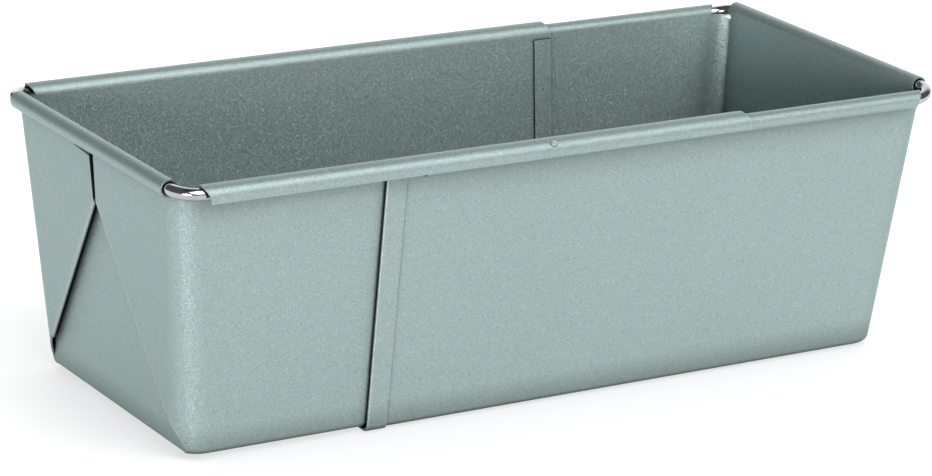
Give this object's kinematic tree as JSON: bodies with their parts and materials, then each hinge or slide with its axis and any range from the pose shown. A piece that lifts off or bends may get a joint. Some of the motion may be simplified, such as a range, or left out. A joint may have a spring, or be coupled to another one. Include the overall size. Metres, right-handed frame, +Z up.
{
  "type": "adjustable loaf pan",
  "caption": "Adjustable loaf pan: two folded sheet-metal halves that slide into each other, with envelope-folded ends and a rim rolled over a wire.",
  "frame": {"origin": "middle of the footprint at rest, on the surface that the pan stands on", "axes": "+X along the pan towards the outer half's end wall, +Y across it, +Z up"},
  "size_m": [0.245, 0.1106, 0.08],
  "materials": {
    "silver_coating": "satin silver-grey non-stick coating on folded steel sheet",
    "chrome_wire": "bright plated steel wire"
  },
  "bodies": {
    "outer_part": {"outer_half": "silver_coating", "outer_rim_wire": "chrome_wire"},
    "inner_part": {"inner_half": "silver_coating", "inner_rim_wire": "chrome_wire"}
  },
  "joints": [
    {"name": "length_slide", "type": "slide", "parent": "outer_part", "child": "inner_part", "axis": [-1, 0, 0], "range_m": [-0.045, 0.09]}
  ]
}
